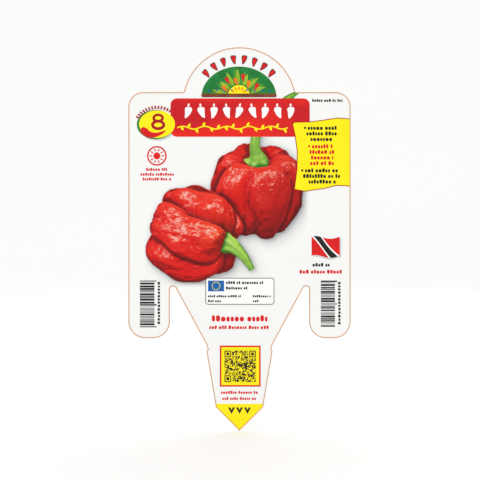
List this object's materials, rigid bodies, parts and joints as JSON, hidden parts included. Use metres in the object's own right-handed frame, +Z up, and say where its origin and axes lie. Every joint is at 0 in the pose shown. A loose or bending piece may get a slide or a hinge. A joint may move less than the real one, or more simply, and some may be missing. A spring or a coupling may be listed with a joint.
{
  "type": "plant label",
  "caption": "Flat printed plastic pot label with an arched head, hanging side wings and a pointed stake that pushes into the soil.",
  "frame": {"origin": "on the stake's centre line, level with the tips of its two barbs, on the sheet's back face", "axes": "+Z up along the label's length with the arched head up and the stake's point down; -Y out of the printed front face and +Y out of the back face; +X to the right of a reader who faces the print"},
  "size_m": [0.12, 0.0005, 0.207],
  "materials": {
    "white_plastic": "smooth semi-gloss opaque white polypropylene sheet, printed in colour on its front face",
    "red_ink": "printed red ink with a thin gloss varnish",
    "yellow_ink": "printed yellow ink with a thin gloss varnish",
    "green_ink": "printed green ink with a thin gloss varnish",
    "dark_ink": "printed black and dark inks with a thin gloss varnish",
    "white_ink": "unprinted white showing through the red ink, under a thin gloss varnish",
    "tan_ink": "printed tan hairline along the cut edge",
    "picture_ink": "four-colour printed picture with a thin gloss varnish"
  },
  "bodies": {
    "root": {"label_sheet": "white_plastic"}
  },
  "joints": []
}
